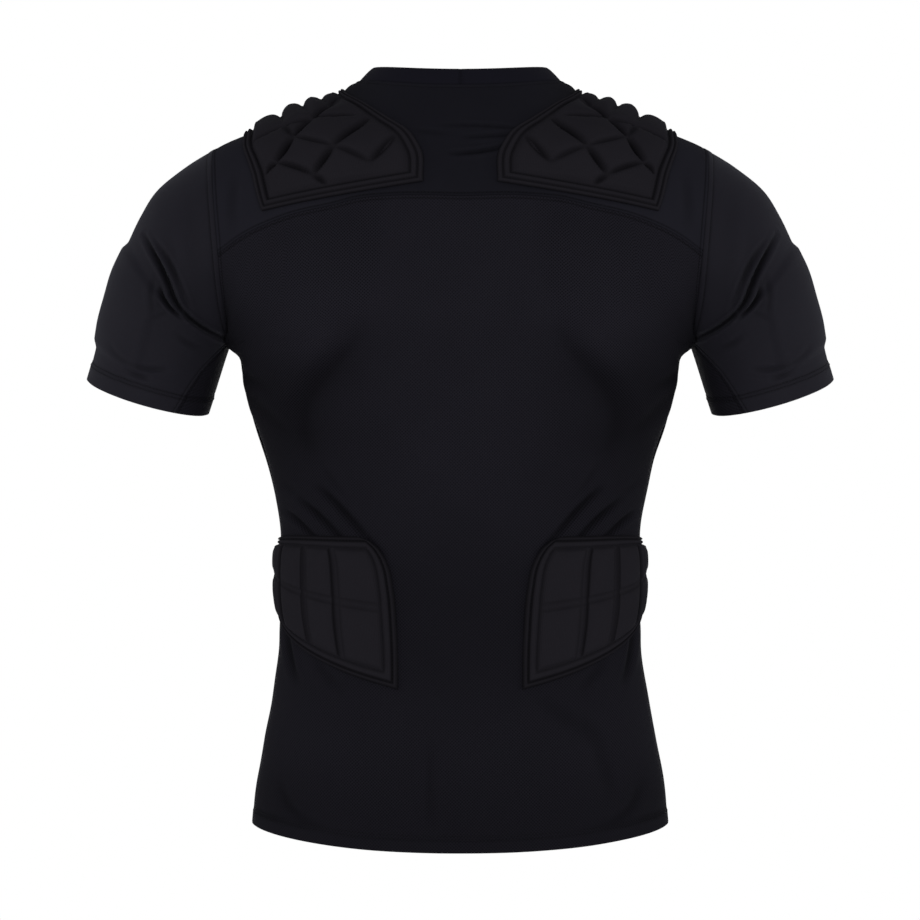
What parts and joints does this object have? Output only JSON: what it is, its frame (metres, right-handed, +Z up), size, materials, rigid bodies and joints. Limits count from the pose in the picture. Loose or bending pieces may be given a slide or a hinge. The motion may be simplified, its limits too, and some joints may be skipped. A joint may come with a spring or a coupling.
{
  "type": "rugby shoulder pads",
  "caption": "Close-fitting short-sleeved rugby protection top with quilted foam pads over the shoulders and at the waist, open at neck, cuffs and hem.",
  "frame": {"origin": "midway between the two shoulder points, at the height where a wearer's shoulders carry the top", "axes": "+Z up along the wearer's back, -Y out of the back, +Y out of the chest, -X towards the wearer's left"},
  "size_m": [0.596, 0.232, 0.6158],
  "materials": {
    "mesh_knit": "black eyelet mesh knit, matt with a faint sheen",
    "smooth_knit": "black smooth stretch knit, soft satin",
    "sleeve_knit": "black smooth stretch knit, satin",
    "band_knit": "black ribbed neckband knit, matt",
    "pad_cover": "black matt knit pressed over foam blocks",
    "thread": "black polyester sewing thread, slight sheen"
  },
  "bodies": {
    "root": {"back_panel": "mesh_knit", "back_yoke": "smooth_knit", "front_panel": "mesh_knit", "neckband": "band_knit", "sleeve_left": "sleeve_knit", "sleeve_right": "sleeve_knit", "underarm_gusset_left": "mesh_knit", "underarm_gusset_right": "mesh_knit", "shoulder_pad_left": "pad_cover", "shoulder_pad_right": "pad_cover", "waist_pad_left": "pad_cover", "waist_pad_right": "pad_cover"}
  },
  "joints": []
}
